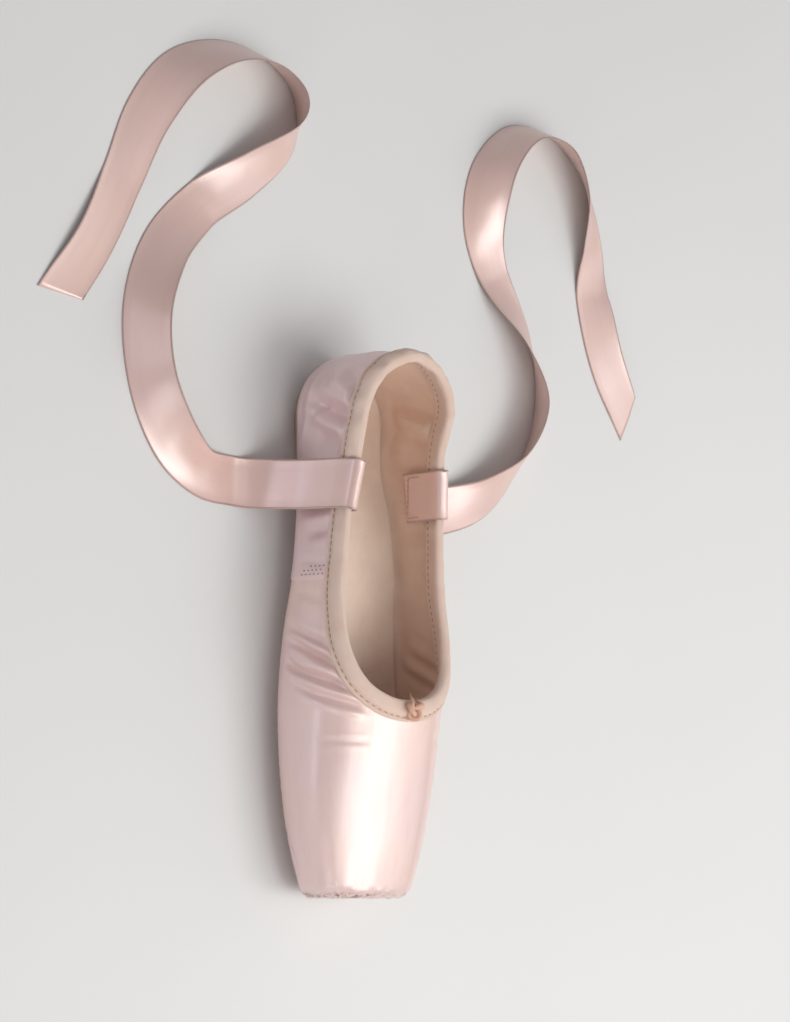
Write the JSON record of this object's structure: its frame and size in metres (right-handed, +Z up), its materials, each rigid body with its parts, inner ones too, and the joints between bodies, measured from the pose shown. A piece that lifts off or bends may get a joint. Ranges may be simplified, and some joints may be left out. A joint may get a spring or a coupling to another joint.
{
  "type": "pointe shoe",
  "caption": "Straight-lasted pointe shoe with a hollow stiffened upper, flat toe platform, leather outsole, bound topline and two loose satin ribbons.",
  "frame": {"origin": "on the floor, below the middle of the shoe's length and width", "axes": "+X to the toe, +Y to the wearer's left, +Z up"},
  "size_m": [0.3742, 0.3866, 0.0569],
  "materials": {
    "satin_upper": "soft sheen pink satin",
    "cotton_binding": "matte peach cotton tape",
    "drawstring_cotton": "matte cotton cord",
    "outsole_leather": "undyed split leather",
    "insole_canvas": "cream canvas",
    "satin_ribbon": "glossy pink satin ribbon"
  },
  "bodies": {
    "root": {"upper": "satin_upper", "outsole": "outsole_leather", "insole": "insole_canvas", "binding": "cotton_binding", "drawstring_knot": "drawstring_cotton", "ribbon_medial": "satin_ribbon", "ribbon_lateral": "satin_ribbon"}
  },
  "joints": []
}
